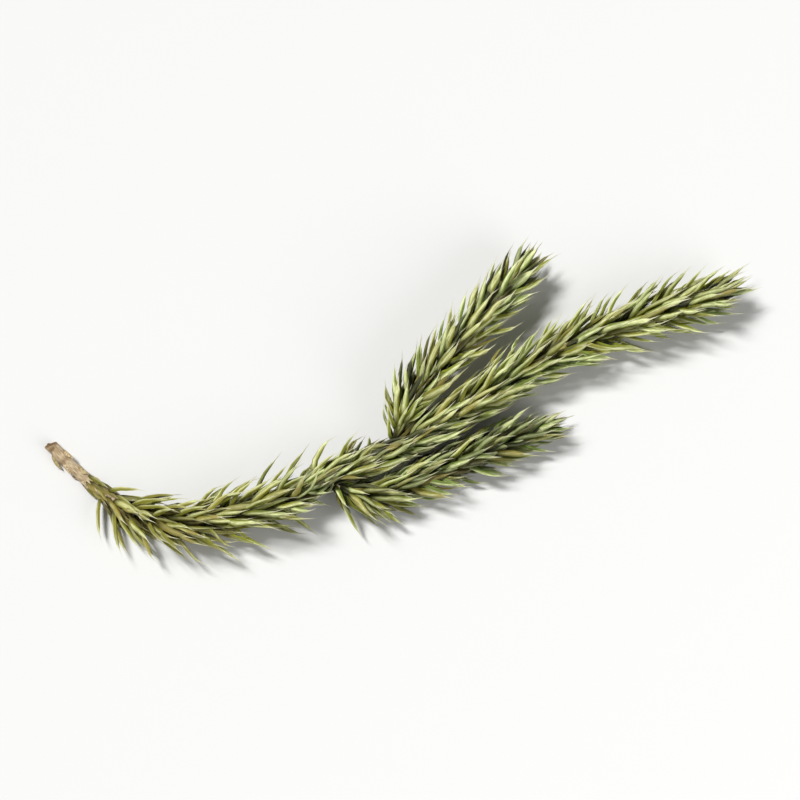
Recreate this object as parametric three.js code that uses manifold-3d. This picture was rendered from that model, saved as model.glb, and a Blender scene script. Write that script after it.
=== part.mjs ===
// A dried sprig of running clubmoss, lying as picked: one leafy main shoot with two leafy side shoots,
// and the bare straw-coloured stem that it was cut from.
// Millimetres, +Z up, +X from the cut end to the growing tip. The origin is on the surface that the
// sprig lies on, under the middle of its box.
import * as THREE from "three";
import { mergeVertices } from "three/addons/utils/BufferGeometryUtils.js";
import Module from "manifold-3d";

const wasm = await Module();
wasm.setup();

// Stems: eight-sided rods that taper, with a flat side underneath.
const STEM_SIDES = 8;
const STEM_PIECE = 3.2; // length of one straight piece of a stem
const CUT_RADIUS = 0.95;
const MAIN_RADIUS = 0.85;
const MAIN_TIP_RADIUS = 0.45;
const SIDE_RADIUS = 0.62;
const SIDE_TIP_RADIUS = 0.36;
const SEAT_GAP = 0.3; // clear space where one piece meets the next
const STEM_SHORT = 2.6; // how far short of its centre line a leafy stem ends, where leaf tips fill the rest

// Leaves: narrow, keeled on the outside, pointing forwards and curving in.
const MAIN_LEAF = 6.4; // length of the main shoot's leaves
const UPPER_LEAF = 6.1;
const LOWER_LEAF = 5.6;
const LEAF_WIDTH = 0.88;
const LEAF_THICKNESS = 0.64;
const LEAF_MIDDLE = 0.92; // size of the section at half length, as a share of that at the foot
const LEAF_STEP = 0.28; // distance along the stem from one leaf to the next
const LEAF_TURN = 137.508; // degrees round the stem from one leaf to the next
const LEAF_SPREAD = 47; // degrees between the stem and a leaf's inner half
const LEAF_CURL = 18; // degrees by which the outer half leans back to the stem
const LEAF_SINK = 0.3; // how far out a leaf's foot sits, as a share of the stem's radius
const LEAF_ROOM = 0.2; // air between a leaf's edge and the surface midway to the next shoot
const LEAF_BEND = 35; // degrees, the most that a leaf is bent to keep clear; past it the leaf is left out
const BUD_LENGTH = 9; // stretch at the growing tip where leaves close up and shorten
const BUD_SPREAD = 11;
const BUD_LEAF = 0.7; // share of the full leaf length at the very tip

// Scatter, each way. The first three are in degrees.
const SPREAD_SCATTER = 11;
const TURN_SCATTER = 16;
const SWAY_SCATTER = 16;
const LENGTH_SCATTER = 0.15;

// Centre lines, with height above the surface. Side shoots start on the main shoot's line.
const CUT_HEIGHT = CUT_RADIUS * Math.cos(Math.PI / STEM_SIDES);
const CUT_POINTS = [
  [-46.8, -6.1, CUT_HEIGHT],
  [-43.8, -9.2, CUT_HEIGHT],
  [-40.4, -12.0, CUT_HEIGHT],
];
const MAIN_POINTS = [
  [-40.4, -12.0, CUT_HEIGHT],
  [-36.6, -14.8, 1.3],
  [-30.0, -16.7, 2.9],
  [-20.0, -14.9, 3.8],
  [-8.4, -10.1, 4.1],
  [5.6, -2.4, 4.1],
  [12.8, 2.3, 3.9],
  [20.8, 6.6, 3.8],
  [30.0, 9.9, 3.9],
  [36.4, 12.0, 4.3],
  [38.8, 14.2, 4.6],
];
const UPPER_POINTS = [
  [-3.6, -7.4, 4.1],
  [-1.9, -3.2, 4.7],
  [0.8, 0.8, 5.3],
  [6.4, 7.5, 5.5],
  [12.2, 14.6, 4.8],
  [13.6, 17.0, 4.5],
];
const LOWER_POINTS = [
  [-11.6, -11.7, 4.0],
  [-8.4, -12.9, 3.4],
  [-4.8, -12.8, 2.9],
  [4.4, -8.9, 2.7],
  [14.0, -5.3, 3.0],
  [16.6, -4.1, 3.2],
];
const FORK_REACH = 1.2; // start of a side shoot that counts as main stem when leaves are kept apart
const DETAIL = 0.03; // slivers left by joining the leaves are merged within this distance, or a bit more
const DETAIL_STEP = 0.005;

const STEM_COLOUR = 0xb3955c;
const LEAF_COLOUR = 0x77803f;

const UP = new THREE.Vector3(0, 0, 1);
const { lerp, clamp, degToRad } = THREE.MathUtils;

// The same number from -1 to 1 each time, for one quality of one leaf of one shoot.
function scatter(seed, leaf, quality) {
  const wave = Math.sin(seed * 17.13 + leaf * 127.1 + quality * 311.7) * 43758.5453;
  return 2 * (wave - Math.floor(wave)) - 1;
}

// A centre line that gives the place, direction, level side and upper side at a distance along it.
class CentreLine {
  constructor(points) {
    const places = points.map((p) => new THREE.Vector3(...p));
    this.curve = new THREE.CatmullRomCurve3(places, false, "catmullrom", 0.5);
    this.length = this.curve.getLength();
    this.trail = this.curve.getSpacedPoints(Math.ceil(this.length * 3));
  }

  at(distance) {
    const share = clamp(distance / this.length, 0, 1);
    const place = this.curve.getPointAt(share);
    const along = this.curve.getTangentAt(share);
    const side = new THREE.Vector3().crossVectors(along, UP).normalize();
    const upper = new THREE.Vector3().crossVectors(side, along);
    return { place, along, side, upper };
  }

  // The trail point nearest to a point, without the first stretch of the line.
  nearest(point, without = 0) {
    const first = Math.round((without / this.length) * (this.trail.length - 1));
    let best = this.trail[first];
    for (const spot of this.trail.slice(first)) {
      if (spot.distanceToSquared(point) < best.distanceToSquared(point)) best = spot;
    }
    return best;
  }
}

class Shoot {
  constructor(name, points, radius, tipRadius, leafLength, seed) {
    this.name = name;
    this.line = new CentreLine(points);
    this.radius = radius;
    this.tipRadius = tipRadius;
    this.leafLength = leafLength;
    this.seed = seed;
    this.end = this.line.length - STEM_SHORT;
  }

  radiusAt(distance) {
    return lerp(this.radius, this.tipRadius, clamp(distance / this.end, 0, 1));
  }
}

function solidFrom(geometry) {
  geometry.deleteAttribute("normal");
  geometry.deleteAttribute("uv");
  const merged = mergeVertices(geometry, 1e-5);
  const vertProperties = merged.attributes.position.array;
  const triVerts = new Uint32Array(merged.index.array);
  return new wasm.Manifold(new wasm.Mesh({ numProp: 3, vertProperties, triVerts }));
}

function meshFrom(solid, name, colour, shift) {
  const { vertProperties, triVerts } = solid.getMesh();
  const geometry = new THREE.BufferGeometry();
  geometry.setAttribute("position", new THREE.BufferAttribute(vertProperties, 3));
  geometry.setIndex(new THREE.BufferAttribute(triVerts, 1));
  const material = new THREE.MeshStandardMaterial({ color: colour, roughness: 0.8, flatShading: true });
  const mesh = new THREE.Mesh(geometry, material);
  mesh.name = name;
  mesh.position.copy(shift);
  return mesh;
}

// A rod along part of a centre line.
function rod(line, from, to, radius, tipRadius) {
  const pieces = Math.max(1, Math.round((to - from) / STEM_PIECE));
  const geometry = new THREE.CylinderGeometry(1, 1, 1, STEM_SIDES, pieces);
  const spots = geometry.getAttribute("position");
  for (let i = 0; i < spots.count; i++) {
    const share = spots.getY(i) + 0.5;
    const reach = lerp(radius, tipRadius, share) * Math.hypot(spots.getX(i), spots.getZ(i));
    const turn = Math.atan2(spots.getZ(i), spots.getX(i)) + Math.PI / STEM_SIDES;
    const { place, side, upper } = line.at(lerp(from, to, share));
    place.addScaledVector(side, Math.cos(turn) * reach);
    place.addScaledVector(upper, Math.sin(turn) * reach);
    spots.setXYZ(i, ...place);
  }
  return solidFrom(geometry);
}

// How much nearer a point is to its own shoot than to another one, in millimetres.
function lead(point, own, other, forked) {
  const theirs = other.nearest(point, forked ? FORK_REACH : 0);
  return point.distanceTo(theirs) - point.distanceTo(own.nearest(point));
}

// Settles the outer end of a stretch of leaf: clear of the other shoots, not below the surface,
// and as long as it was.
function settle(start, end, lowest, shoot, others) {
  const length = start.distanceTo(end);
  const wanted = LEAF_WIDTH + 2 * LEAF_ROOM;
  for (let pass = 0; pass < 14; pass++) {
    for (const { line, forked } of others) {
      const missing = wanted - lead(end, shoot.line, line, forked);
      if (missing <= 0) continue;
      const away = end.clone().sub(line.nearest(end, forked ? FORK_REACH : 0)).normalize();
      const home = shoot.line.nearest(end).clone().sub(end).normalize();
      end.addScaledVector(away.add(home).normalize(), missing * 0.55);
    }
    end.z = Math.max(end.z, lowest);
    end.sub(start).setLength(length).add(start);
  }
  end.z = Math.max(end.z, lowest);
}

// Where one leaf runs: foot, middle and tip, and the direction that its keel faces.
function leafPath(shoot, others, leaf, distance) {
  const chance = (quality) => scatter(shoot.seed, leaf, quality);
  const { place, along, side, upper } = shoot.line.at(distance);
  const grown = clamp((shoot.line.length - distance) / BUD_LENGTH, 0, 1);
  const length = shoot.leafLength * lerp(BUD_LEAF, 1, grown) * (1 + LENGTH_SCATTER * chance(1));
  const spread = degToRad(lerp(BUD_SPREAD, LEAF_SPREAD, grown) + SPREAD_SCATTER * grown * chance(2));
  const curl = degToRad(LEAF_CURL * grown);
  const turn = degToRad(leaf * LEAF_TURN + TURN_SCATTER * chance(3));
  const sway = degToRad(SWAY_SCATTER * chance(4));

  const outward = (angle) => side.clone().multiplyScalar(Math.cos(angle)).addScaledVector(upper, Math.sin(angle));
  const heading = (angle, lean) =>
    along.clone().multiplyScalar(Math.cos(lean)).addScaledVector(outward(angle), Math.sin(lean));

  const foot = place.clone().addScaledVector(outward(turn), shoot.radiusAt(distance) * LEAF_SINK);
  const inner = heading(turn, spread);
  const middle = foot.clone().addScaledVector(inner, length / 2);
  settle(foot, middle, LEAF_THICKNESS / 2, shoot, others);
  const outer = heading(turn + sway, spread - curl);
  const tip = middle.clone().addScaledVector(outer, length / 2);
  settle(middle, tip, 0, shoot, others);
  const bend = Math.max(inner.angleTo(middle.clone().sub(foot)), outer.angleTo(tip.clone().sub(middle)));
  return { foot, middle, tip, outward: outward(turn), bend };
}

// Whether a leaf keeps to its own side of the other shoots without a sharp bend.
function hasRoom({ middle, tip, bend }, shoot, others) {
  if (bend > degToRad(LEAF_BEND)) return false;
  return others.every(({ line, forked }) =>
    [middle, tip].every((spot) => lead(spot, shoot.line, line, forked) > LEAF_WIDTH + LEAF_ROOM),
  );
}

// A three-sided cone bent at its middle, one edge of which is the keel.
function leafSolid({ foot, middle, tip, outward }) {
  const inner = middle.clone().sub(foot).normalize();
  const outer = tip.clone().sub(middle).normalize();
  const across = new THREE.Vector3().crossVectors(inner, outward).normalize();
  const geometry = new THREE.CylinderGeometry(0, 1, 1, 3, 2);
  const spots = geometry.getAttribute("position");
  const rings = [
    { centre: foot, along: inner, size: 1 },
    { centre: middle, along: inner.clone().add(outer), size: 2 * LEAF_MIDDLE },
    { centre: tip, along: outer, size: 0 },
  ];
  for (let i = 0; i < spots.count; i++) {
    const { centre, along, size } = rings[Math.round(2 * spots.getY(i) + 1)];
    const keel = new THREE.Vector3().crossVectors(across, along).normalize();
    const place = centre.clone();
    place.addScaledVector(across, (spots.getX(i) * size * LEAF_WIDTH) / Math.sqrt(3));
    place.addScaledVector(keel, (spots.getZ(i) * size * LEAF_THICKNESS) / 1.5);
    spots.setXYZ(i, place.x, place.y, Math.max(place.z, 0));
  }
  return solidFrom(geometry);
}

// Whether each edge lies between just two faces, taking corners within 1e-4 mm as one.
function edgesArePlain(solid) {
  const { vertProperties, triVerts } = solid.getMesh();
  const corner = (v) => [0, 1, 2].map((k) => Math.round(vertProperties[3 * v + k] * 1e4)).join();
  const faces = new Map();
  for (let i = 0; i < triVerts.length; i += 3) {
    const corners = [0, 1, 2].map((k) => corner(triVerts[i + k]));
    if (new Set(corners).size < 3) continue;
    for (let k = 0; k < 3; k++) {
      const edge = [corners[k], corners[(k + 1) % 3]].sort().join();
      faces.set(edge, (faces.get(edge) ?? 0) + 1);
    }
  }
  return [...faces.values()].every((count) => count === 2);
}

// The outer surface of a joined solid, without slivers and without pockets that leaves seal off.
function oneBody(solid) {
  for (let tries = 0; tries < 10; tries++) {
    const bodies = solid.asOriginal().simplify(DETAIL + tries * DETAIL_STEP).decompose();
    const body = bodies.reduce((best, next) => (next.volume() > best.volume() ? next : best));
    if (edgesArePlain(body)) return body;
  }
  throw new Error("leaves touch along an edge at each merging distance");
}

// A leafy shoot in one body: its stem with the leaves fused to it.
function leafyShoot(shoot, firstLeaf, stemFrom, others) {
  const solids = [rod(shoot.line, stemFrom, shoot.end, shoot.radius, shoot.tipRadius)];
  const count = Math.floor((shoot.end - firstLeaf) / LEAF_STEP);
  for (let leaf = 0; leaf <= count; leaf++) {
    const path = leafPath(shoot, others, leaf, firstLeaf + leaf * LEAF_STEP);
    if (hasRoom(path, shoot, others)) solids.push(leafSolid(path));
  }
  return wasm.Manifold.union(solids);
}

const main = new Shoot("main_shoot", MAIN_POINTS, MAIN_RADIUS, MAIN_TIP_RADIUS, MAIN_LEAF, 1);
const upper = new Shoot("upper_side_shoot", UPPER_POINTS, SIDE_RADIUS, SIDE_TIP_RADIUS, UPPER_LEAF, 2);
const lower = new Shoot("lower_side_shoot", LOWER_POINTS, SIDE_RADIUS, SIDE_TIP_RADIUS, LOWER_LEAF, 5);

const cutLine = new CentreLine(CUT_POINTS);
const cutStem = rod(cutLine, 0, cutLine.length, CUT_RADIUS, CUT_RADIUS);

const mainNeighbours = [
  { line: upper.line, forked: true },
  { line: lower.line, forked: true },
];
const mainShoot = oneBody(leafyShoot(main, 0.9, SEAT_GAP, mainNeighbours));

// The main stem with the seat's gap round it, which each side shoot stops at.
const seat = rod(main.line, 0, main.end, main.radius + SEAT_GAP, main.tipRadius + SEAT_GAP);

function sideShoot(shoot, neighbour) {
  const others = [
    { line: main.line, forked: false },
    { line: neighbour.line, forked: true },
  ];
  return oneBody(leafyShoot(shoot, 1.9, 0, others).subtract(seat));
}

const solids = [
  ["cut_stem", cutStem, STEM_COLOUR],
  [main.name, mainShoot, LEAF_COLOUR],
  [upper.name, sideShoot(upper, lower), LEAF_COLOUR],
  [lower.name, sideShoot(lower, upper), LEAF_COLOUR],
];

// Moves the middle of the sprig's box over the origin.
const box = new THREE.Box3();
for (const [, solid] of solids) {
  const { min, max } = solid.boundingBox();
  box.expandByPoint(new THREE.Vector3(...min));
  box.expandByPoint(new THREE.Vector3(...max));
}
const middle = box.getCenter(new THREE.Vector3());
const shift = new THREE.Vector3(-middle.x, -middle.y, -box.min.z);

const sprig = new THREE.Group();
for (const [name, solid, colour] of solids) {
  sprig.add(meshFrom(solid, name, colour, shift));
}

export default sprig;
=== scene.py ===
import math
from dataclasses import dataclass
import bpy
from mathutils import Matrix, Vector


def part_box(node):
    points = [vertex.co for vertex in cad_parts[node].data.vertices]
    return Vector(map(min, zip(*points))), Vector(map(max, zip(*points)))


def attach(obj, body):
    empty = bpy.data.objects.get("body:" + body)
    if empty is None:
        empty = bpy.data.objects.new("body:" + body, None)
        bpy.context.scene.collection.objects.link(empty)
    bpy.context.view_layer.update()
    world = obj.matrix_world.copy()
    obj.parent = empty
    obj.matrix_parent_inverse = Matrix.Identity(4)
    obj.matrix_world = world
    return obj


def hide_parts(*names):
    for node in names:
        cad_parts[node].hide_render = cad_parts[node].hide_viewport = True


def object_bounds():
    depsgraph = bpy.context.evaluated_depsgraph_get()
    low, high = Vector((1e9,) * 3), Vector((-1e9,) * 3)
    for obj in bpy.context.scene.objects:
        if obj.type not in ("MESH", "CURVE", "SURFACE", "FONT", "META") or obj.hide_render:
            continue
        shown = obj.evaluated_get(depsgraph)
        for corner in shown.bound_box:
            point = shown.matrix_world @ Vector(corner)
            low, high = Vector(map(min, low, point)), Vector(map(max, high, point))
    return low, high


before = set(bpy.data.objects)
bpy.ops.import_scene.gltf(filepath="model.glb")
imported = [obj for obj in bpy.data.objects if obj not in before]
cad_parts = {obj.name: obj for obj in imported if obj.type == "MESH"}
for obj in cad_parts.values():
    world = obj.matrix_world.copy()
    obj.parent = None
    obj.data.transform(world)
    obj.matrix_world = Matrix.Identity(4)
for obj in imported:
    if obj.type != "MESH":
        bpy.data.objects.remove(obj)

from types import SimpleNamespace
from typing import Callable

import bpy
import numpy as np
from mathutils import Vector

# A dried sprig of running clubmoss: a bare cut stem, a leafy main shoot and two leafy side shoots.
# Sizes are in millimetres unless a name or a unit says otherwise, and meshes are in metres.

bl_info = {
    "name": "Dried clubmoss sprig",
    "version": (1, 0, 0),
    "blender": (4, 5, 0),
    "location": "View3D > Sidebar > Sprig",
    "description": "Models a dried sprig of running clubmoss with its leaves, stems and studio",
    "category": "Add Mesh",
}

MM = 0.001
TINY = 1e-9
CAD_BOX = [list(corner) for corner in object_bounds()]
BODY = "root"

# Stems and their centre lines, the same as the solids that these pieces replace.
CUT_RADIUS = 0.95
CUT_TIP_RADIUS = 0.86
MAIN_RADIUS = 0.85
MAIN_TIP_RADIUS = 0.45
SIDE_RADIUS = 0.62
SIDE_TIP_RADIUS = 0.36
SOLID_SIDES = 8  # sides of the solids' stems, one of which lies on the surface
CUT_HEIGHT = CUT_RADIUS * math.cos(math.pi / SOLID_SIDES)
CUT_POINTS = [(-46.8, -6.1, CUT_HEIGHT), (-43.8, -9.2, CUT_HEIGHT), (-40.4, -12.0, CUT_HEIGHT)]
MAIN_POINTS = [
    (-40.4, -12.0, CUT_HEIGHT),
    (-36.6, -14.8, 1.3),
    (-30.0, -16.7, 2.9),
    (-20.0, -14.9, 3.8),
    (-8.4, -10.1, 4.1),
    (5.6, -2.4, 4.1),
    (12.8, 2.3, 3.9),
    (20.8, 6.6, 3.8),
    (30.0, 9.9, 3.9),
    (36.4, 12.0, 4.3),
    (38.8, 14.2, 4.6),
]
UPPER_POINTS = [
    (-3.6, -7.4, 4.1),
    (-1.9, -3.2, 4.7),
    (0.8, 0.8, 5.3),
    (6.4, 7.5, 5.5),
    (12.2, 14.6, 4.8),
    (13.6, 17.0, 4.5),
]
LOWER_POINTS = [
    (-11.6, -11.7, 4.0),
    (-8.4, -12.9, 3.4),
    (-4.8, -12.8, 2.9),
    (4.4, -8.9, 2.7),
    (14.0, -5.3, 3.0),
    (16.6, -4.1, 3.2),
]
FORK_REACH = 1.2  # start of a side shoot that counts as main stem when leaves are kept apart
STEM_SHORT = 2.6  # how far short of its centre line a leafy stem ends
LINE_SAMPLES = 200  # samples of a centre line between two of its points
DIRECTION_STEP = 0.05  # distance each way over which a line's direction is taken
TRAIL_STEP = 0.3  # distance between the places that are searched for the nearest one

# The leaf rule, the same as in the solids.
MAIN_LEAF = 6.4
UPPER_LEAF = 6.1
LOWER_LEAF = 5.6
LEAF_WIDTH = 0.88
SOLID_THICKNESS = 0.64
LEAF_TURN = 137.508  # degrees round the stem from one leaf to the next
LEAF_STEP = 0.28  # distance along the stem from one leaf to the next
LEAF_SPREAD = 47  # degrees between the stem and a leaf's inner half
LEAF_CURL = 18  # degrees by which the outer half leans back to the stem
LEAF_SINK = 0.3  # how far out a leaf's foot sits, as a share of the stem's radius
LEAF_ROOM = 0.2  # air between a leaf's edge and the surface midway to the next shoot
LEAF_CLEAR = LEAF_WIDTH + 2 * LEAF_ROOM
LEAF_BEND = 35  # degrees, the most that a leaf is bent to keep clear; past it the leaf is left out
BUD_LENGTH = 9  # stretch at the growing tip where leaves close up and shorten
BUD_SPREAD = 11  # degrees of spread at the very tip
BUD_LEAF = 0.7  # share of the full leaf length at the very tip
SPREAD_SCATTER = 11  # degrees each way, as are the next two
TURN_SCATTER = 16
SWAY_SCATTER = 16
LENGTH_SCATTER = 0.15  # share of the length each way
SETTLE_PASSES = 14
SETTLE_SHARE = 0.55  # share of what is missing that one pass makes good

# Finer qualities of the scene's own leaves, which the solids don't have.
TIP_HEIGHT = 0.05  # least height of a leaf's tip above the surface
HAIR_HEIGHT = 0.04  # least height of a hair's tip
LOWEST = 0.015  # least height of any part of a leaf
HAIR_MEAN = 0.6  # usual share of the full hair length
HAIR_SCATTER = 0.4
WIDTH_SCATTER = 0.2
KINK_WAVES = 10  # radians of a kink's wave from a leaf's foot to its tip
KINK_PHASE = 40  # most radians, each way, by which a leaf's wave is shifted
ROLL_DEPTH = 0.9  # how far a leaf's margins curl inwards, per square millimetre from its keel
ROLL_NARROWS = 0.25  # share of its width that a fully curled leaf loses
ROLL_KINKS = 0.6  # share by which the curl varies along a leaf
WIDTH_KINKS = 0.1  # share by which the width varies along a leaf
DRY_STRETCH = 0.3  # share of the main shoot, from the cut, where leaves are drier
AGE_SCATTER = 0.45  # how dry chance alone makes a leaf at most
FRESHEST = -0.2  # least chance that counts, which leaves half of the leaves fresh
DEAD_CHANCE = 0.9  # a leaf whose chance is above this is drier than the others
DEAD_AGE = 0.3  # and by how much

# Qualities of a leaf that vary by chance. Each has its own number, the first four as in the solids.
QUALITIES = [
    "length", "spread", "turn", "sway", "twist", "width", "roll", "tone", "hair", "age",
    "side wave", "keel wave", "side kinks", "keel kinks", "roll kinks", "width kinks",
]
QUALITY_NUMBER = {quality: number for number, quality in enumerate(QUALITIES, start=1)}

# Stations of a straight leaf: share of the length, and share of the full width.
LEAF_STATIONS = [
    (0.0, 0.6),
    (0.12, 0.84),
    (0.28, 1.0),
    (0.46, 1.0),
    (0.63, 0.9),
    (0.76, 0.64),
    (0.85, 0.2),
    (1.0, 0.04),
]
LEAF_SIDES = 6
LEVEL = 0.01  # difference across or along the pattern that counts as none
INNER_FACE = -0.02  # a corner lower than this lies on the leaf's inner face

# Ribbed stems.
CUT_SIDES = 28
CUT_PIECE = 0.4  # length of one ring of the cut stem
SHOOT_SIDES = 20
SHOOT_PIECE = 0.6
SWELLS = [(0.04, 1.3), (0.03, 3.1)]  # share of the radius, and radians from one ring to the next
STEM_LAP = 1.2  # how far a leafy stem runs back into the stem that it grows from
CUT_LAP = 0.9  # how far the cut stem runs on into the main stem
LAP_TAPER = 0.55  # size of the rings that lie inside the other stem
LAP_START = 0.35  # where on the cut stem's lap those rings start
FIRST_RING = (-1, 0.3)  # places along a leafy stem between which only its first ring lies
SHRIVEL_DEPTH = 0.22
SHRIVEL_SCALE = 1.3  # size of the bumps and hollows of a shrivelled stem
GUIDE_STEP = 0.4  # distance between the points of the curve that a stem is bent to
GUIDE_SPARE = 1.0  # how far that curve runs on past the stem's end
MERGE = 1e-7  # metres
SEAT_HEIGHT = 0.01  # height of the bare stem's flat underside

# The cut: its place and slant, and its rings from the torn rim to the pith, each with its size as a
# share of the last one and how far it lies inwards of it.
CUT_PLACE = 0.45
CUT_SLANT = (-1, 0.3, 0.45)
CUT_RINGS = [(0.86, 0.0), (0.95, 0.15), (0.84, 0.02), (0.9, -0.13), (0.6, -0.05), (0.5, 0.04)]
CORE_END = 1.2  # how far along the stem the cut's surface may reach
CORE_SHARE = 0.82  # share of the radius inside which the cut's surface is core

# Patterns of the materials. Blotches and patches have so many cells for each metre of space.
# Streaks and fibres follow the surface: cells along and across, and a shift for each leaf's tone.
DRY_BLOTCHES = 650.0
FRESH_PATCHES = 75.0
BARK_BLOTCHES = 420.0
STREAK_ALONG = 2.2
STREAK_ACROSS = 1.6
STREAK_SHIFT = 60.0
STREAK_SCALE = 3.2
FIBRE_ALONG = 0.4
FIBRE_ROUND = 4.0
FIBRE_SCALE = 2.6
LEAF_GLOSS = 0.2
SCALE_GLOSS = 0.25
STEM_GLOSS = 0.4
LEAF_BUMP = 0.12 * MM
STEM_BUMP = 0.2 * MM

# The stage, in metres.
FLOOR_SIZE = 8
FLOOR_ROUGHNESS = 0.7
KEY_PLACE = (-0.28, 0.2, 0.6)
FILL_PLACE = (0.5, -0.35, 0.4)
FILL_SIZE = 0.5
NEAREST_SEEN = 0.01


def unit(vectors):
    return vectors / np.maximum(np.linalg.norm(vectors, axis=-1, keepdims=True), TINY)


def between(a, b, share):
    return a + (b - a) * share


def scatter(seed, leaves, quality):
    """The same numbers from -1 to 1 each time, one for each leaf, by the solids' own formula."""
    number = QUALITY_NUMBER[quality]
    wave = np.sin(seed * 17.13 + leaves * 127.1 + number * 311.7) * 43758.5453
    return 2 * (wave - np.floor(wave)) - 1


@dataclass
class Layer:
    """One set of leaves on a stem: how they grow and how they look."""

    name: str
    seed: int  # added to the shoot's own seed
    first: float  # distance along the stem to the first leaf
    step: float  # distance along the stem from one leaf to the next
    spread: float  # degrees between the stem and a leaf's inner half
    size: float  # share of the shoot's leaf length
    width: float  # share of the usual leaf width
    tones: tuple  # darkest and lightest leaf, on a scale from 0 to 1
    age: Callable  # how dry each leaf is, from 0 to 1, by the leaves and a chance for each
    last: float | None = None  # distance to the last leaf, or None for the stem's end
    clear: float = LEAF_CLEAR  # how much nearer a leaf keeps to its own stem than to another
    bend: float = LEAF_BEND  # degrees, the most that a leaf is bent to keep clear
    mess: float = 1.0  # share of the usual scatter in a leaf's direction
    sink: float = LEAF_SINK  # how far out a leaf's foot sits, as a share of the stem's radius
    near: float = math.inf  # most distance by which another stem is further off than this one
    hair: float = 1.0  # share of the usual hair length


class CentreLine:
    """A smooth line through points, with the place and directions at a distance along it."""

    def __init__(self, points):
        ends = [2 * np.array(points[0]) - points[1], 2 * np.array(points[-1]) - points[-2]]
        knots = np.array([ends[0], *points, ends[1]])
        spots = []
        for a, b, c, d in zip(knots, knots[1:], knots[2:], knots[3:]):
            t = np.linspace(0, 1, LINE_SAMPLES, endpoint=False)[:, None]
            start, finish = (c - a) / 2, (d - b) / 2
            curve = b + start * t + (3 * (c - b) - 2 * start - finish) * t**2
            spots.append(curve + (2 * (b - c) + start + finish) * t**3)
        self.spots = np.vstack([*spots, knots[-2:-1]])
        steps = np.linalg.norm(np.diff(self.spots, axis=0), axis=1)
        self.marks = np.concatenate([[0], np.cumsum(steps)])
        self.length = float(self.marks[-1])

    def place(self, distance):
        """Where the line is at a distance, going straight on past its two ends."""
        within = np.clip(distance, 0, self.length)
        spots = np.stack([np.interp(within, self.marks, self.spots[:, k]) for k in range(3)], axis=-1)
        ends = unit(np.stack([self.spots[1] - self.spots[0], self.spots[-1] - self.spots[-2]]))
        past = np.asarray(distance - within)[..., None]
        return spots + np.where(past < 0, ends[0], ends[1]) * past

    def directions(self, distance):
        """Along the line, to its level side and to its upper side."""
        distance = np.clip(distance, DIRECTION_STEP, self.length - DIRECTION_STEP)
        along = unit(self.place(distance + DIRECTION_STEP) - self.place(distance - DIRECTION_STEP))
        side = unit(np.cross(along, (0.0, 0.0, 1.0)))
        return along, side, np.cross(side, along)

    def nearest(self, points, skip=0.0):
        """The nearest place on the line to each point, and how far it is."""
        trail = self.place(np.arange(skip, self.length, TRAIL_STEP))
        gaps = np.linalg.norm(points[:, None] - trail[None], axis=2)
        best = gaps.argmin(axis=1)
        return trail[best], gaps[np.arange(len(points)), best]


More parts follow.
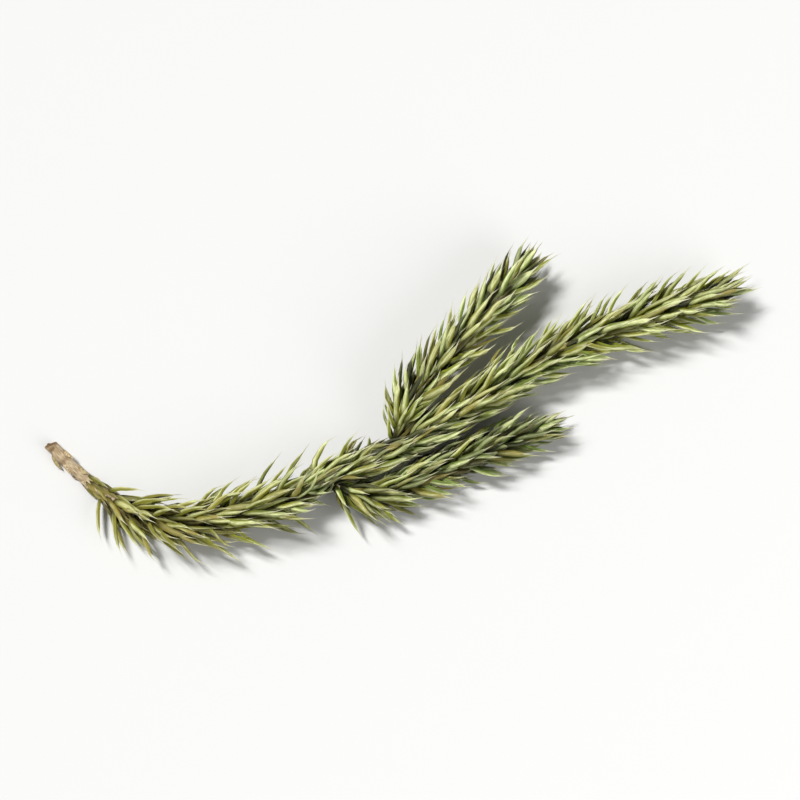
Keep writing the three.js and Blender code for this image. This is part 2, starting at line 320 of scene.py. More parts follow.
class Shoot:
    """A stem, where it grows, and the rule that sets leaves on it."""

    def __init__(self, points, radius, tip_radius, leaf_length, seed, first_leaf):
        self.line = CentreLine(points)
        self.radius = radius
        self.tip_radius = tip_radius
        self.leaf_length = leaf_length
        self.seed = seed
        self.first_leaf = first_leaf
        self.end = self.line.length - STEM_SHORT
        self.others = []

    def radius_at(self, distance):
        return between(self.radius, self.tip_radius, np.clip(distance / self.end, 0, 1))

    def settle(self, start, end, lowest, clear):
        """Moves the outer ends of stretches of leaf clear of other shoots and off the surface."""
        length = np.linalg.norm(end - start, axis=1, keepdims=True)
        for _ in range(SETTLE_PASSES):
            for other, skip in self.others:
                theirs, gap = other.line.nearest(end, skip)
                mine, reach = self.line.nearest(end)
                missing = np.maximum(clear - (gap - reach), 0)[:, None]
                away = unit(unit(end - theirs) + unit(mine - end))
                end = end + away * missing * SETTLE_SHARE
            end[:, 2] = np.maximum(end[:, 2], lowest)
            end = start + unit(end - start) * length
        end[:, 2] = np.maximum(end[:, 2], lowest)
        return end

    def lead(self, points):
        """How much nearer each point is to this shoot than to the nearest other one."""
        own = self.line.nearest(points)[1]
        gaps = [other.line.nearest(points, skip)[1] - own for other, skip in self.others]
        return np.min([*gaps, np.full(len(points), np.inf)], axis=0)

    def leaves(self, layer):
        """Foot, middle and tip of each leaf of a layer, and which way its keel faces.

        A leaf that would have to bend too sharply, or that has no room, is left out.
        """
        seed = self.seed + layer.seed
        count = int(((layer.last or self.end) - layer.first) / layer.step) + 1
        leaf = np.arange(count)
        distance = layer.first + leaf * layer.step
        place = self.line.place(distance)
        along, side, upper = self.line.directions(distance)
        grown = np.clip((self.line.length - distance) / BUD_LENGTH, 0, 1)
        length = self.leaf_length * layer.size * between(BUD_LEAF, 1, grown)
        length = (length * (1 + LENGTH_SCATTER * scatter(seed, leaf, "length")))[:, None]
        stray = layer.mess * SPREAD_SCATTER * grown * scatter(seed, leaf, "spread")
        lean = np.radians(between(BUD_SPREAD, layer.spread, grown) + stray)
        curl = np.radians(LEAF_CURL * grown)
        turn_stray = layer.mess * TURN_SCATTER * scatter(seed, leaf, "turn")
        turn = np.radians(leaf * LEAF_TURN + turn_stray)
        sway = np.radians(layer.mess * SWAY_SCATTER * scatter(seed, leaf, "sway"))

        def outward(angle):
            angle = angle[:, None]
            return side * np.cos(angle) + upper * np.sin(angle)

        def heading(angle, tilt):
            tilt = tilt[:, None]
            return along * np.cos(tilt) + outward(angle) * np.sin(tilt)

        foot = place + outward(turn) * (self.radius_at(distance) * layer.sink)[:, None]
        inner = heading(turn, lean)
        middle = self.settle(foot, foot + inner * length / 2, SOLID_THICKNESS / 2, layer.clear)
        outer = heading(turn + sway, lean - curl)
        tip = self.settle(middle, middle + outer * length / 2, TIP_HEIGHT, layer.clear)
        inner_straight = (unit(middle - foot) * inner).sum(axis=1)
        outer_straight = (unit(tip - middle) * outer).sum(axis=1)
        straight = np.minimum(inner_straight, outer_straight)
        room = np.minimum(self.lead(middle), self.lead(tip))
        keep = (straight > math.cos(math.radians(layer.bend))) & (room > layer.clear - LEAF_ROOM)
        if layer.near < math.inf:
            keep &= self.lead(place) < layer.near
        return SimpleNamespace(
            leaf=leaf[keep],
            share=(distance / self.line.length)[keep],
            foot=foot[keep],
            middle=middle[keep],
            tip=tip[keep],
            outward=outward(turn)[keep],
        )


MAIN = Shoot(MAIN_POINTS, MAIN_RADIUS, MAIN_TIP_RADIUS, MAIN_LEAF, seed=1, first_leaf=0.9)
UPPER = Shoot(UPPER_POINTS, SIDE_RADIUS, SIDE_TIP_RADIUS, UPPER_LEAF, seed=2, first_leaf=1.9)
LOWER = Shoot(LOWER_POINTS, SIDE_RADIUS, SIDE_TIP_RADIUS, LOWER_LEAF, seed=5, first_leaf=1.9)
MAIN.others = [(UPPER, FORK_REACH), (LOWER, FORK_REACH)]
UPPER.others = [(MAIN, 0.0), (LOWER, FORK_REACH)]
LOWER.others = [(MAIN, 0.0), (UPPER, FORK_REACH)]
SHOOTS = {"main_shoot": MAIN, "upper_side_shoot": UPPER, "lower_side_shoot": LOWER}
CUT_STEM = Shoot(CUT_POINTS, CUT_RADIUS, CUT_TIP_RADIUS, leaf_length=2.6, seed=7, first_leaf=1.6)

# Looks of a leafy shoot's outer and middle leaves, and how dry its leaves are next to the cut.
OUTER_WIDTH = {"main_shoot": 1.02, "upper_side_shoot": 1.2, "lower_side_shoot": 1.02}
OUTER_TONES = {
    "main_shoot": (0.6, 0.92),
    "upper_side_shoot": (0.72, 1.0),
    "lower_side_shoot": (0.35, 0.92),
}
# Middle leaves are darker than the outer ones: partly their own tone, and partly painted shade
# beneath the outer leaves.
MIDDLE_TONES = {
    "main_shoot": (0.35, 0.85),
    "upper_side_shoot": (0.0, 0.65),
    "lower_side_shoot": (0.0, 0.65),
}
CUT_AGE = {"main_shoot": 0.55, "upper_side_shoot": 0.0, "lower_side_shoot": 0.0}


def shoot_layers(node, shape):
    """The layers of a leafy shoot: three from the outside in, and short leaves over its forks."""
    first = SHOOTS[node].first_leaf

    def age(leaves, chance):
        base = CUT_AGE[node] * np.clip(1 - leaves.share / DRY_STRETCH, 0, 1)
        dead = np.where(chance > DEAD_CHANCE, DEAD_AGE, 0)
        return base + AGE_SCATTER * np.clip(chance, FRESHEST, 1) + dead

    outer = Layer(
        name="outer_leaves",
        seed=0,
        first=first,
        step=LEAF_STEP,
        spread=LEAF_SPREAD,
        size=1.0,
        width=OUTER_WIDTH[node],
        tones=OUTER_TONES[node],
        age=age,
    )
    middle = Layer(
        name="middle_leaves",
        seed=10,
        first=first + LEAF_STEP / 2,
        step=LEAF_STEP,
        spread=LEAF_SPREAD * 0.6,
        size=1.08,
        width=0.9,
        tones=MIDDLE_TONES[node],
        age=age,
        clear=0.9,
        bend=45,
        mess=1.3,
    )
    inner = Layer(
        name="inner_leaves",
        seed=20,
        first=0.3,
        step=shape.inner_step / MM,
        spread=LEAF_SPREAD * 0.4,
        size=0.75,
        width=0.85,
        # Near-black inner leaves: painted shade in the gaps between the outer leaves.
        tones=(0.0, 0.1),
        age=age,
        clear=0.1,
        bend=75,
        mess=1.2,
    )
    fork = Layer(
        name="fork_leaves",
        seed=30,
        first=0.5,
        step=0.17,
        spread=LEAF_SPREAD * 0.85,
        size=0.62,
        width=0.85,
        tones=(0.15, 0.9),
        age=age,
        clear=0.35,
        bend=60,
        mess=1.5,
        near=5.2,
    )
    return [outer, middle, inner, fork]


SCALES = Layer(
    name="scales",
    seed=0,
    first=CUT_STEM.first_leaf,
    last=CUT_STEM.line.length - 0.5,
    step=0.6,
    spread=10,
    size=0.8,
    width=0.66,
    tones=(0.2, 0.9),
    age=lambda leaves, chance: 0.9 + 0.1 * chance,
    mess=1.2,
    sink=0.72,
    hair=0.3,
)
OLD_LEAVES = Layer(
    name="old_leaves",
    seed=1,
    first=CUT_STEM.line.length - 2.4,
    last=CUT_STEM.line.length - 0.2,
    step=0.15,
    spread=12,
    size=1.7,
    width=0.85,
    tones=(0.1, 0.7),
    age=lambda leaves, chance: 0.8 + 0.3 * chance,
    mess=1.6,
    sink=0.62,
    hair=0.4,
)


def sprig_shift():
    """How far the solids lie from the lines' own zero, by the corner of the cut stem's box."""
    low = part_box("cut_stem")[0]
    sides = [CUT_STEM.line.directions(d)[1] for d in (0.0, CUT_STEM.line.length)]
    corner_x = CUT_POINTS[0][0] - CUT_HEIGHT * abs(sides[0][0])
    corner_y = CUT_POINTS[-1][1] - CUT_HEIGHT * abs(sides[1][1])
    return np.array([low[0] / MM - corner_x, low[1] / MM - corner_y, 0.0])


SHIFT = sprig_shift()


class SprigShape(bpy.types.PropertyGroup):
    """Sizes of the leaves and stems."""

    leaf_width: bpy.props.FloatProperty(
        name="Leaf width",
        description="Full width of a leaf",
        default=LEAF_WIDTH * MM,
        unit="LENGTH",
    )
    leaf_keel: bpy.props.FloatProperty(
        name="Keel height",
        description="How far the keel stands out",
        default=0.25 * MM,
        unit="LENGTH",
    )
    leaf_groove: bpy.props.FloatProperty(
        name="Groove",
        description="Share of the inner face that is hollow",
        default=0.72,
        subtype="FACTOR",
    )
    leaf_twist: bpy.props.FloatProperty(
        name="Twist",
        description="Most turn of a leaf from foot to tip",
        default=math.radians(50),
        subtype="ANGLE",
    )
    leaf_wave: bpy.props.FloatProperty(
        name="Wave",
        description="How far a dry leaf strays from an even curve",
        default=0.3 * MM,
        unit="LENGTH",
    )
    leaf_crinkle: bpy.props.FloatProperty(
        name="Crinkle",
        description="Size of the small kinks along a dry leaf",
        default=0.06 * MM,
        unit="LENGTH",
    )
    hair: bpy.props.FloatProperty(
        name="Hair",
        description="Fine hair past the tip of a leaf",
        default=1.3 * MM,
        unit="LENGTH",
    )
    inner_step: bpy.props.FloatProperty(
        name="Inner leaf spacing",
        description="Stem length for each inner leaf",
        default=0.36 * MM,
        unit="LENGTH",
    )
    rib_depth: bpy.props.FloatProperty(
        name="Rib depth",
        description="Depth of the stem's grooves as a share of its radius",
        default=0.15,
        subtype="FACTOR",
    )
    stem_angle: bpy.props.FloatProperty(
        name="Stem edge angle",
        description="Least angle between a stem's faces that shows as an edge",
        default=math.radians(48),
        subtype="ANGLE",
    )


class SprigColours(bpy.types.PropertyGroup):
    """Colours of the leaves and stems, in linear light."""

    # Darkest leaf colour: dark leaves of random tone, and also painted shade at the leaf feet and on
    # the inner leaves.
    dark_leaf_and_shade: bpy.props.FloatVectorProperty(
        name="Dark leaf",
        description="Darkest green of the leaves",
        default=(0.007, 0.008, 0.001),
        subtype="COLOR",
    )
    olive_leaf: bpy.props.FloatVectorProperty(
        name="Olive leaf",
        description="Usual green of the leaves",
        default=(0.2, 0.218, 0.018),
        subtype="COLOR",
    )
    # Pale keel colour: partly the leaf's paler vein, partly a painted highlight.
    pale_vein_and_highlight: bpy.props.FloatVectorProperty(
        name="Pale leaf",
        description="Lightest green, along the keels",
        default=(0.82, 0.86, 0.44),
        subtype="COLOR",
    )
    mint_leaf: bpy.props.FloatVectorProperty(
        name="Mint leaf",
        description="Cool green of the freshest leaves",
        default=(0.16, 0.225, 0.045),
        subtype="COLOR",
    )
    dry_leaf: bpy.props.FloatVectorProperty(
        name="Dry leaf",
        description="Yellow-brown of the oldest leaves",
        default=(0.3, 0.24, 0.055),
        subtype="COLOR",
    )
    straw: bpy.props.FloatVectorProperty(
        name="Straw",
        description="Lightest colour of the stems",
        default=(0.68, 0.55, 0.35),
        subtype="COLOR",
    )
    bark: bpy.props.FloatVectorProperty(
        name="Bark",
        description="Darkest colour of the stems",
        default=(0.22, 0.125, 0.05),
        subtype="COLOR",
    )
    hair: bpy.props.FloatVectorProperty(
        name="Hair",
        description="Colour of the hair tips",
        default=(0.6, 0.58, 0.38),
        subtype="COLOR",
    )


class SprigStage(bpy.types.PropertyGroup):
    """Camera, lights and floor."""

    elevation: bpy.props.FloatProperty(
        name="Elevation",
        description="Camera angle above the horizon",
        default=math.radians(77),
        subtype="ANGLE",
    )
    lens: bpy.props.FloatProperty(
        name="Lens",
        description="Focal length in millimetres",
        default=135.0,
        unit="CAMERA",
    )
    fill: bpy.props.FloatProperty(
        name="Fill",
        description="Share of the frame's width that the sprig spans",
        default=0.9,
        subtype="FACTOR",
    )
    key_strength: bpy.props.FloatProperty(
        name="Key light",
        description="Strength of the main light",
        default=3.7,
    )
    key_angle: bpy.props.FloatProperty(
        name="Key size",
        description="Width of the main light in the sky",
        default=math.radians(13),
        subtype="ANGLE",
    )
    fill_power: bpy.props.FloatProperty(
        name="Fill light",
        description="Power of the softer light",
        default=2.4,
        unit="POWER",
    )
    room_light: bpy.props.FloatProperty(
        name="Room light",
        description="Strength of the even light",
        default=0.2,
    )
    floor: bpy.props.FloatVectorProperty(
        name="Floor",
        description="Colour of the floor",
        default=(0.66, 0.66, 0.65),
        subtype="COLOR",
    )


class Finish:
    """A material built up node by node."""

    def __init__(self, name):
        self.material = bpy.data.materials.new(name)
        self.material.use_nodes = True
        self.tree = self.material.node_tree
        self.shader = self.tree.nodes["Principled BSDF"]

    def node(self, kind, values, **settings):
        """Adds a node, links or sets its inputs, and returns its first output."""
        made = self.tree.nodes.new(kind)
        for name, value in settings.items():
            setattr(made, name, value)
        for name, value in values.items():
            self.put(made.inputs[name], value)
        return made.outputs[0]

    def put(self, socket, value):
        if isinstance(value, bpy.types.NodeSocket):
            self.tree.links.new(value, socket)
        else:
            socket.default_value = value

    def attribute(self, name):
        made = self.tree.nodes.new("ShaderNodeAttribute")
        made.attribute_name = name
        return made.outputs["Fac"]

    def times(self, a, b):
        return self.node("ShaderNodeMath", {0: a, 1: b}, operation="MULTIPLY")

    def mix(self, share, a, b):
        """Blends two colours, whose sockets on this node are numbers 6 and 7."""
        made = self.tree.nodes.new("ShaderNodeMix")
        made.data_type = "RGBA"
        self.put(made.inputs[0], share)
        self.put(made.inputs[6], colour(a))
        self.put(made.inputs[7], colour(b))
        return made.outputs[2]

    def fade(self, value, start, end, low=0.0, high=1.0):
        """Goes from low to high as the value goes from start to end."""
        made = self.tree.nodes.new("ShaderNodeMapRange")
        made.interpolation_type = "SMOOTHSTEP"
        for socket, number in zip(made.inputs, (value, start, end, low, high)):
            self.put(socket, number)
        return made.outputs[0]

    def noise(self, vector, scale, detail):
        return self.node("ShaderNodeTexNoise", {"Vector": vector, "Scale": scale, "Detail": detail})

    def vector(self, x, y, z):
        return self.node("ShaderNodeCombineXYZ", {0: x, 1: y, 2: z})

    def place(self):
        made = self.tree.nodes.new("ShaderNodeTexCoord")
        return made.outputs["Object"]

    def surface(self, base, roughness, gloss, height, bump):
        """Joins the finished patterns to the shader, with a bump of a depth in metres."""
        self.put(self.shader.inputs["Base Color"], base)
        self.put(self.shader.inputs["Roughness"], roughness)
        self.put(self.shader.inputs["Specular IOR Level"], gloss)
        made = self.tree.nodes.new("ShaderNodeBump")
        made.inputs["Distance"].default_value = bump
        self.put(made.inputs["Height"], height)
        self.tree.links.new(made.outputs[0], self.shader.inputs["Normal"])
        return self.material


def colour(value):
    if isinstance(value, bpy.types.NodeSocket):
        return value
    return (*value, 1.0)


def leaf_streaks(made, tone, along, edge):
    """Streaks along a leaf, other ones on each leaf."""
    length = made.times(along, STREAK_ALONG)
    width = made.times(edge, STREAK_ACROSS)
    own = made.times(tone, STREAK_SHIFT)
    return made.noise(made.vector(length, width, own), STREAK_SCALE, 3.0)


def leaf_finish(colours):
    """Olive leaf with a pale keel, partly its paler vein and partly a painted highlight, a foot
    darkened as painted shade, dry places and streaks along its length.
    """
    made = Finish("clubmoss_leaf")
    tone = made.attribute("tone")
    age = made.attribute("age")
    along = made.attribute("along")
    edge = made.attribute("edge")
    streaks = leaf_streaks(made, tone, along, edge)
    blotches = made.noise(made.place(), DRY_BLOTCHES, 2.0)
    patches = made.noise(made.place(), FRESH_PATCHES, 1.0)
    # Cool green in patches where the leaves are fresh, and from dark to light by the leaf's tone.
    fresh = made.times(made.fade(patches, 0.42, 0.6), made.fade(age, 0.3, 0.0))
    green = made.mix(fresh, colours.olive_leaf, colours.mint_leaf)
    green = made.mix(made.fade(tone, 0.05, 0.95), colours.dark_leaf_and_shade, green)
    # A pale keel, partly the leaf's paler vein and partly a painted highlight, that the streaks break
    # up, strongest on light leaves and away from the foot.
    keel = made.times(made.fade(edge, 0.8, 0.18), made.fade(streaks, 0.32, 0.6, 0.4, 1.0))
    pale = made.times(keel, made.fade(tone, 0.1, 1.0, 0.1, 1.0))
    pale = made.times(pale, made.fade(along, 0.1, 0.5, 0.2, 1.0))
    green = made.mix(pale, green, colours.pale_vein_and_highlight)
    # Yellow-brown by age, in blotches, a foot darkened as painted shade among the leaves, and a pale
    # hair.
    dry = made.times(age, made.fade(blotches, 0.35, 0.65, 0.45, 1.0))
    green = made.mix(dry, green, colours.dry_leaf)
    # Painted shade: darker towards each leaf's foot.
    green = made.mix(made.fade(along, 0.4, 0.06, 0.0, 0.92), green, colours.dark_leaf_and_shade)
    hair = made.times(made.fade(along, 0.78, 0.88), made.fade(tone, 0.0, 0.6, 0.25, 1.0))
    green = made.mix(hair, green, colours.hair)
    roughness = made.fade(streaks, 0.3, 0.7, 0.29, 0.47)
    return made.surface(green, roughness, LEAF_GLOSS, streaks, LEAF_BUMP)


def scale_finish(colours):
    """Papery straw-coloured scale, brown at its foot and streaked along its length."""
    made = Finish("clubmoss_scale")
    tone = made.attribute("tone")
    along = made.attribute("along")
    streaks = leaf_streaks(made, tone, along, made.attribute("edge"))
    straw = made.mix(made.fade(streaks, 0.4, 0.62, 0.0, 0.8), colours.straw, colours.bark)
    straw = made.mix(made.fade(tone, 0.3, 0.8, 0.0, 0.5), straw, colours.dry_leaf)
    straw = made.mix(made.fade(along, 0.3, 0.0), straw, colours.bark)
    roughness = made.fade(streaks, 0.3, 0.7, 0.45, 0.65)
    return made.surface(straw, roughness, SCALE_GLOSS, streaks, LEAF_BUMP)


def stem_finish(colours):
    """Straw-coloured stem with brown fibres along it, brown blotches and a brown core."""
    made = Finish("clubmoss_stem")
    length = made.attribute("length")
    ring = made.attribute("ring")
    core = made.attribute("core")
    grain = made.vector(made.times(length, FIBRE_ALONG), made.times(ring, FIBRE_ROUND), 0.0)
    fibres = made.noise(grain, FIBRE_SCALE, 4.0)
    blotches = made.noise(made.place(), BARK_BLOTCHES, 3.0)
    straw = made.mix(made.fade(fibres, 0.38, 0.68), colours.straw, colours.bark)
    straw = made.mix(made.fade(blotches, 0.5, 0.72, 0.0, 0.7), straw, colours.bark)
    straw = made.mix(made.fade(core, 0.0, 1.0), straw, colours.bark)
    roughness = made.fade(fibres, 0.3, 0.7, 0.4, 0.62)
    return made.surface(straw, roughness, STEM_GLOSS, fibres, STEM_BUMP)


def floor_finish(stage):
    made = Finish("pale_floor")
    made.put(made.shader.inputs["Base Color"], colour(stage.floor))
    made.put(made.shader.inputs["Roughness"], FLOOR_ROUGHNESS)
    return made.material


def kept_material(name, make, colours):
    return bpy.data.materials.get(name) or make(colours)


def start_alone():
    """Leaves edit mode and clears the selection."""
    if bpy.context.object and bpy.context.object.mode != "OBJECT":
        bpy.ops.object.mode_set(mode="OBJECT")
    bpy.ops.object.select_all(action="DESELECT")


def take_up(piece):
    """Makes a piece the only one that is selected, and the active one."""
    start_alone()
    piece.select_set(True)
    bpy.context.view_layer.objects.active = piece


def leaf_pattern(shape):
    """Models one straight leaf: x across, y from foot to tip over 0 to 1, z towards the keel."""
    start_alone()
    bpy.ops.mesh.primitive_circle_add(
        vertices=LEAF_SIDES,
        radius=LEAF_STATIONS[0][1],
        fill_type="NGON",
        rotation=(math.radians(90), 0, 0),
    )
    leaf = bpy.context.object
    bpy.ops.object.transform_apply(location=True, rotation=True, scale=True)
    bpy.ops.object.mode_set(mode="EDIT")
    bpy.ops.mesh.select_all(action="SELECT")
    for (last, last_width), (share, width) in zip(LEAF_STATIONS, LEAF_STATIONS[1:]):
        bpy.ops.mesh.extrude_region_move(TRANSFORM_OT_translate={"value": (0, share - last, 0)})
        narrower = width / last_width
        bpy.ops.transform.resize(value=(narrower, 1, narrower), center_override=(0, share, 0))
    bpy.ops.mesh.merge(type="CENTER")
    bpy.ops.mesh.select_all(action="SELECT")
    bpy.ops.mesh.normals_make_consistent(inside=False)
    bpy.ops.object.mode_set(mode="OBJECT")
    spots = np.array([vertex.co[:] for vertex in leaf.data.vertices])
    faces = [tuple(face.vertices) for face in leaf.data.polygons]
    groove = (np.abs(spots[:, 0]) < LEVEL) & (spots[:, 2] < INNER_FACE)
    spots[groove, 2] *= 1 - shape.leaf_groove
    bpy.data.objects.remove(leaf)
    return spots, faces


def leaf_places(spots, leaves, layer, seed, shape):
    """Where the pattern's corners lie on each leaf: bent, waved, kinked, twisted and rolled in."""
    u = spots[:, 1][None, :, None]

    def chance(quality):
        return scatter(seed, leaves.leaf, quality)[:, None, None]

    def kinks(quality):
        return np.sin(KINK_WAVES * u + KINK_PHASE * chance(quality))

    hair = unit(leaves.tip - leaves.middle) * layer.hair * shape.hair / MM
    tip = leaves.tip + hair * (HAIR_MEAN + HAIR_SCATTER * chance("hair")[:, 0])
    tip[:, 2] = np.maximum(tip[:, 2], HAIR_HEIGHT)
    foot, middle, tip = (part[:, None] for part in (leaves.foot, leaves.middle, tip))
    bow = 2 * middle - (foot + tip) / 2
    centre = (1 - u) ** 2 * foot + 2 * u * (1 - u) * bow + u**2 * tip
    along = unit(2 * (1 - u) * (bow - foot) + 2 * u * (tip - bow))
    across = unit(np.cross(leaves.middle - leaves.foot, leaves.outward))[:, None]
    keel = unit(np.cross(across, along))
    across = np.cross(along, keel)

    reach = np.linalg.norm(tip - foot, axis=-1, keepdims=True) / MAIN_LEAF
    wave = shape.leaf_wave / MM * reach * np.sin(u * 2 * math.pi) * u
    crinkle = shape.leaf_crinkle / MM * np.sin(u * math.pi)
    centre = centre + across * (wave * chance("side wave") + crinkle * kinks("side kinks"))
    centre = centre + keel * (wave * chance("keel wave") + crinkle * kinks("keel kinks"))
    twist = shape.leaf_twist * chance("twist") * u
    cos, sin = np.cos(twist), np.sin(twist)
    across, keel = across * cos + keel * sin, keel * cos - across * sin

    width = shape.leaf_width / MM / 2 * layer.width * (1 + WIDTH_SCATTER * chance("width"))
    roll = (0.5 + 0.5 * chance("roll")) * (1 + ROLL_KINKS * kinks("roll kinks"))
    x = spots[:, 0][None, :, None] * width * (1 + WIDTH_KINKS * kinks("width kinks"))
    z = spots[:, 2][None, :, None] * shape.leaf_keel / MM - roll * x**2 * ROLL_DEPTH
    places = centre + across * x * (1 - ROLL_NARROWS * roll) + keel * z
    places[..., 2] = np.maximum(places[..., 2], LOWEST)
    return (places + SHIFT) * MM


def leaf_mesh(name, shoot, layer, shape):
    """Copies the leaf pattern to each leaf of a layer, in one mesh, with its looks as attributes."""
    spots, faces = leaf_pattern(shape)
    leaves = shoot.leaves(layer)
    seed = shoot.seed + layer.seed
    count = len(leaves.leaf)
    size = len(spots)
    places = leaf_places(spots, leaves, layer, seed, shape)
    firsts = range(0, size * count, size)
    copies = [tuple(first + corner for corner in face) for first in firsts for face in faces]
    mesh = bpy.data.meshes.new(name)
    mesh.from_pydata(places.reshape(-1, 3).tolist(), [], copies)
    mesh.shade_smooth()
    crease(mesh, spots)
    tone = 0.5 + 0.5 * scatter(seed, leaves.leaf, "tone")
    age = layer.age(leaves, scatter(seed, leaves.leaf, "age"))
    note(mesh, "tone", np.repeat(between(*layer.tones, tone), size))
    note(mesh, "age", np.repeat(np.clip(age, 0, 1), size))
    note(mesh, "along", np.tile(spots[:, 1], count))
    note(mesh, "edge", np.tile(np.abs(spots[:, 0]), count))
    return mesh


def crease(mesh, spots):
    """Shades the keel and the two margins of every leaf as edges, from its foot to its tip."""
    ends = np.zeros(len(mesh.edges) * 2, dtype=np.int32)
    mesh.edges.foreach_get("vertices", ends)
    ends = ends.reshape(-1, 2) % len(spots)
    lengthwise = np.abs(spots[ends[:, 0], 1] - spots[ends[:, 1], 1]) > LEVEL
    inner = (np.abs(spots[:, 0]) < LEVEL) & (spots[:, 2] < 0)
    made = mesh.attributes.new("sharp_edge", "BOOLEAN", "EDGE")
    made.data.foreach_set("value", lengthwise & ~inner[ends].any(axis=1))


def note(mesh, name, values):
    """Stores a number for each vertex, for the materials to read."""
    made = mesh.attributes.new(name, "FLOAT", "POINT")
    made.data.foreach_set("value", np.asarray(values, dtype=np.float32))


def ribbed_rod(name, length, shoot, sides, piece, shape):
    """A ribbed, tapering stem drawn out ring by ring along the X axis."""
    count = max(2, round(length / piece))
    step = length / count
    start_alone()
    bpy.ops.mesh.primitive_circle_add(
        vertices=sides,
        radius=shoot.radius * MM,
        fill_type="NGON",
        rotation=(0, math.radians(90), 0),
    )
    rod = bpy.context.object
    rod.name = name
    rod.data.name = name
    bpy.ops.object.transform_apply(location=True, rotation=True, scale=True)
    for vertex in rod.data.vertices:
        vertex.select = vertex.index % 2 == 0
    bpy.ops.object.mode_set(mode="EDIT")
    bpy.ops.mesh.select_mode(type="VERT")
    groove = 1 - shape.rib_depth
    bpy.ops.transform.resize(value=(1, groove, groove), center_override=(0, 0, 0))
    bpy.ops.mesh.select_all(action="SELECT")
    size = shoot.radius
    for ring in range(1, count + 1):
        swell = sum((depth * math.sin(ring * pace) for depth, pace in SWELLS), 1)
        wanted = between(shoot.radius, shoot.tip_radius, ring / count) * swell
        grow = wanted / size
        bpy.ops.mesh.extrude_region_move(TRANSFORM_OT_translate={"value": (step * MM, 0, 0)})
        bpy.ops.transform.resize(value=(1, grow, grow), center_override=(ring * step * MM, 0, 0))
        size = wanted
    bpy.ops.mesh.select_all(action="SELECT")
    bpy.ops.mesh.normals_make_consistent(inside=False)
    bpy.ops.object.mode_set(mode="OBJECT")
    return rod


def shrivel(rod):
    """Pushes a stem's surface in and out by cloud noise, as it dries."""
    clouds = bpy.data.textures.new("shrivel", "CLOUDS")
    clouds.noise_scale = SHRIVEL_SCALE * MM
    bpy.context.view_layer.objects.active = rod
    bpy.ops.object.modifier_add(type="DISPLACE")
    push = rod.modifiers[-1]
    push.texture = clouds
    push.texture_coords = "LOCAL"
    push.strength = SHRIVEL_DEPTH * MM
    bpy.ops.object.modifier_apply(modifier=push.name)


def taper_off(rod, low, high):
    """Narrows a straight stem between two places, so that it ends inside the stem that it meets."""
    bpy.context.view_layer.objects.active = rod
    bpy.ops.object.mode_set(mode="EDIT")
    bpy.ops.mesh.select_mode(type="VERT")
    bpy.ops.mesh.select_all(action="DESELECT")
    bpy.ops.object.mode_set(mode="OBJECT")
    for vertex in rod.data.vertices:
        vertex.select = low < vertex.co.x / MM < high
    bpy.ops.object.mode_set(mode="EDIT")
    bpy.ops.transform.resize(value=(1, LAP_TAPER, LAP_TAPER), center_override=(low * MM, 0, 0))
    bpy.ops.object.mode_set(mode="OBJECT")


def cut_across(rod):
    """Cuts a stem's end off at a slant, with a torn rim and the pith out of a shallow hollow."""
    bpy.context.view_layer.objects.active = rod
    bpy.ops.object.mode_set(mode="EDIT")
    bpy.ops.mesh.select_mode(type="FACE")
    bpy.ops.mesh.select_all(action="SELECT")
    bpy.ops.mesh.bisect(
        plane_co=(CUT_PLACE * MM, 0, 0),
        plane_no=CUT_SLANT,
        use_fill=True,
        clear_outer=True,
        threshold=MERGE,
    )
    for share, depth in CUT_RINGS:
        bpy.ops.mesh.extrude_region_move(TRANSFORM_OT_translate={"value": (depth * MM, 0, 0)})
        bpy.ops.transform.resize(value=(1, share, share), center_override=(0, 0, 0))
    bpy.ops.object.mode_set(mode="OBJECT")


def flatten_underside(stem):
    """Cuts a stem off level where it rests on the surface."""
    take_up(stem)
    bpy.ops.object.mode_set(mode="EDIT")
    bpy.ops.mesh.select_all(action="SELECT")
    bpy.ops.mesh.bisect(
        plane_co=(0, 0, SEAT_HEIGHT * MM),
        plane_no=(0, 0, 1),
        use_fill=True,
        clear_inner=True,
        threshold=MERGE,
    )
    bpy.ops.object.mode_set(mode="OBJECT")


def store_fibres(rod, core_end=-math.inf):
    """Stores how far along and round the stem each vertex is, and whether it is on the cut's core."""
    spots = np.array([vertex.co[:] for vertex in rod.data.vertices]) / MM
    reach = np.hypot(spots[:, 1], spots[:, 2])
    note(rod.data, "length", spots[:, 0])
    note(rod.data, "ring", np.abs(np.arctan2(spots[:, 1], spots[:, 2])))
    note(rod.data, "core", (spots[:, 0] < core_end) & (reach < CUT_RADIUS * CORE_SHARE))


def bend_along(rod, line, start, end):
    """Bends a straight rod on the X axis to a centre line with a Curve modifier."""
    path = bpy.data.curves.new("guide", "CURVE")
    path.dimensions = "3D"
    guide = bpy.data.objects.new("guide", path)
    bpy.context.scene.collection.objects.link(guide)
    places = (line.place(np.arange(start, end + GUIDE_SPARE, GUIDE_STEP)) + SHIFT) * MM
    spline = path.splines.new("POLY")
    spline.points.add(len(places) - 1)
    for point, place in zip(spline.points, places):
        point.co = (*place, 1)
    bpy.context.view_layer.objects.active = rod
    bpy.ops.object.modifier_add(type="CURVE")
    bend = rod.modifiers[-1]
    bend.object = guide
    bend.deform_axis = "POS_X"
    bpy.ops.object.modifier_apply(modifier=bend.name)
    bpy.data.objects.remove(guide)


def soften(piece, angle):
    """Shades a piece smooth except where its faces meet at more than an angle."""
    take_up(piece)
    bpy.ops.object.shade_smooth_by_angle(angle=angle)


def present(piece, node, material):
    """Hangs a finished piece on the frame in place of a node."""
    piece.data.materials.clear()
    piece.data.materials.append(material)
    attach(piece, BODY)
    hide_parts(node)


def add_leaves(node, shoot, layer, shape, material):
    """Makes one piece of a layer of leaves."""
    name = f"{node}_{layer.name}"
    piece = bpy.data.objects.new(name, leaf_mesh(name, shoot, layer, shape))
    bpy.context.scene.collection.objects.link(piece)
    present(piece, node, material)


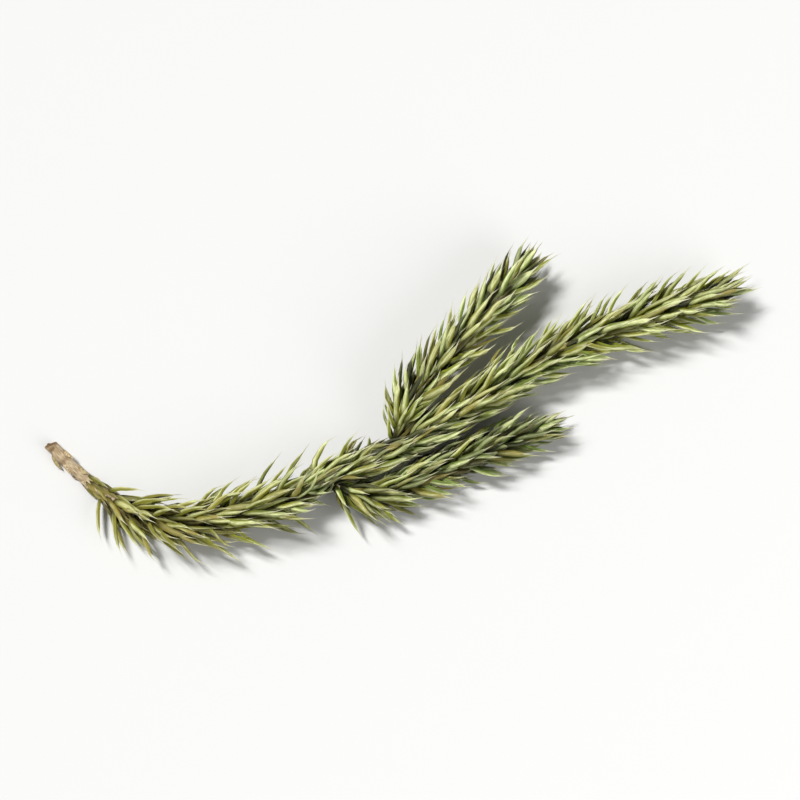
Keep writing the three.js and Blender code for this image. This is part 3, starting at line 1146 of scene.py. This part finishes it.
class SPRIG_OT_cut_stem(bpy.types.Operator):
    """Model the bare stem with its cut end, its dry scales and the old leaves above them"""

    bl_idname = "sprig.cut_stem"
    bl_label = "Cut stem"

    def execute(self, context):
        shape = context.scene.sprig_shape
        colours = context.scene.sprig_colours
        length = CUT_STEM.line.length
        stem = ribbed_rod("cut_stem_bare", length + CUT_LAP, CUT_STEM, CUT_SIDES, CUT_PIECE, shape)
        taper_off(stem, length + LAP_START, length + 2 * CUT_LAP)
        shrivel(stem)
        cut_across(stem)
        store_fibres(stem, core_end=CORE_END)
        bend_along(stem, CUT_STEM.line, 0, length)
        flatten_underside(stem)
        soften(stem, shape.stem_angle)
        present(stem, "cut_stem", kept_material("clubmoss_stem", stem_finish, colours))
        add_leaves("cut_stem", CUT_STEM, SCALES, shape, scale_finish(colours))
        green = kept_material("clubmoss_leaf", leaf_finish, colours)
        add_leaves("cut_stem", CUT_STEM, OLD_LEAVES, shape, green)
        return {"FINISHED"}


class SPRIG_OT_leafy_shoot(bpy.types.Operator):
    """Model one leafy shoot: its ribbed stem, its leaves and the shorter leaves under them"""

    bl_idname = "sprig.leafy_shoot"
    bl_label = "Leafy shoot"

    node: bpy.props.StringProperty(
        name="Node",
        description="The solid that the shoot replaces",
        default="main_shoot",
    )

    def execute(self, context):
        shape = context.scene.sprig_shape
        colours = context.scene.sprig_colours
        shoot = SHOOTS[self.node]
        length = shoot.end + STEM_LAP
        stem = ribbed_rod(f"{self.node}_stem", length, shoot, SHOOT_SIDES, SHOOT_PIECE, shape)
        taper_off(stem, *FIRST_RING)
        store_fibres(stem)
        bend_along(stem, shoot.line, -STEM_LAP, shoot.end)
        soften(stem, shape.stem_angle)
        present(stem, self.node, kept_material("clubmoss_stem", stem_finish, colours))
        green = kept_material("clubmoss_leaf", leaf_finish, colours)
        for layer in shoot_layers(self.node, shape):
            add_leaves(self.node, shoot, layer, shape, green)
        return {"FINISHED"}


class SPRIG_OT_stage(bpy.types.Operator):
    """Set up the pale floor, the studio lights and the camera"""

    bl_idname = "sprig.stage"
    bl_label = "Stage"

    def execute(self, context):
        stage = context.scene.sprig_stage
        start_alone()
        bpy.ops.mesh.primitive_plane_add(size=FLOOR_SIZE)
        floor = context.object
        floor.name = "floor"
        floor.data.materials.append(floor_finish(stage))
        key = self.light("SUN", "key_light", KEY_PLACE, stage.key_strength)
        key.angle = stage.key_angle
        fill = self.light("AREA", "fill_light", FILL_PLACE, stage.fill_power)
        fill.size = FILL_SIZE
        self.room(context, stage)
        self.camera(context, stage)
        return {"FINISHED"}

    def light(self, kind, name, place, energy):
        """A light that shines from a place towards the sprig."""
        bpy.ops.object.light_add(type=kind, location=place)
        lamp = bpy.context.object
        lamp.name = name
        lamp.data.energy = energy
        lamp.rotation_euler = (-Vector(place)).to_track_quat("-Z", "Y").to_euler()
        return lamp.data

    def room(self, context, stage):
        """Even white light from all round."""
        world = bpy.data.worlds.new("room")
        world.use_nodes = True
        background = world.node_tree.nodes["Background"]
        background.inputs["Color"].default_value = (1, 1, 1, 1)
        background.inputs["Strength"].default_value = stage.room_light
        context.scene.world = world
        context.scene.view_settings.view_transform = "Standard"

    def camera(self, context, stage):
        """A camera at the photograph's angle, far enough back for the sprig to fill its share."""
        low, high = (Vector(corner) for corner in CAD_BOX)
        centre = (low + high) / 2
        back = Vector((0, -math.cos(stage.elevation), math.sin(stage.elevation)))
        bpy.ops.object.camera_add()
        camera = context.object
        camera.data.lens = stage.lens
        half_view = camera.data.sensor_width / 2 / stage.lens
        distance = (high.x - low.x) / 2 / stage.fill / half_view
        camera.location = centre + back * distance
        camera.rotation_euler = (-back).to_track_quat("-Z", "Y").to_euler()
        camera.data.clip_start = NEAREST_SEEN
        context.scene.camera = camera


class SPRIG_PT_panel(bpy.types.Panel):
    """The sprig's pieces, sizes and colours in the sidebar"""

    bl_idname = "SPRIG_PT_panel"
    bl_label = "Clubmoss sprig"
    bl_space_type = "VIEW_3D"
    bl_region_type = "UI"
    bl_category = "Sprig"

    def draw(self, context):
        scene = context.scene
        self.layout.operator(SPRIG_OT_cut_stem.bl_idname)
        for node in SHOOTS:
            self.layout.operator(SPRIG_OT_leafy_shoot.bl_idname, text=node).node = node
        self.layout.operator(SPRIG_OT_stage.bl_idname)
        for group in (scene.sprig_shape, scene.sprig_colours, scene.sprig_stage):
            box = self.layout.box()
            for name in type(group).__annotations__:
                box.prop(group, name)


CLASSES = [
    SprigShape,
    SprigColours,
    SprigStage,
    SPRIG_OT_cut_stem,
    SPRIG_OT_leafy_shoot,
    SPRIG_OT_stage,
    SPRIG_PT_panel,
]


def register():
    for cls in CLASSES:
        bpy.utils.register_class(cls)
    bpy.types.Scene.sprig_shape = bpy.props.PointerProperty(type=SprigShape)
    bpy.types.Scene.sprig_colours = bpy.props.PointerProperty(type=SprigColours)
    bpy.types.Scene.sprig_stage = bpy.props.PointerProperty(type=SprigStage)


def unregister():
    del bpy.types.Scene.sprig_shape
    del bpy.types.Scene.sprig_colours
    del bpy.types.Scene.sprig_stage
    for cls in reversed(CLASSES):
        bpy.utils.unregister_class(cls)


def main():
    register()
    bpy.ops.sprig.cut_stem()
    for node in SHOOTS:
        bpy.ops.sprig.leafy_shoot(node=node)
    bpy.ops.sprig.stage()


if __name__ == "__main__":
    main()
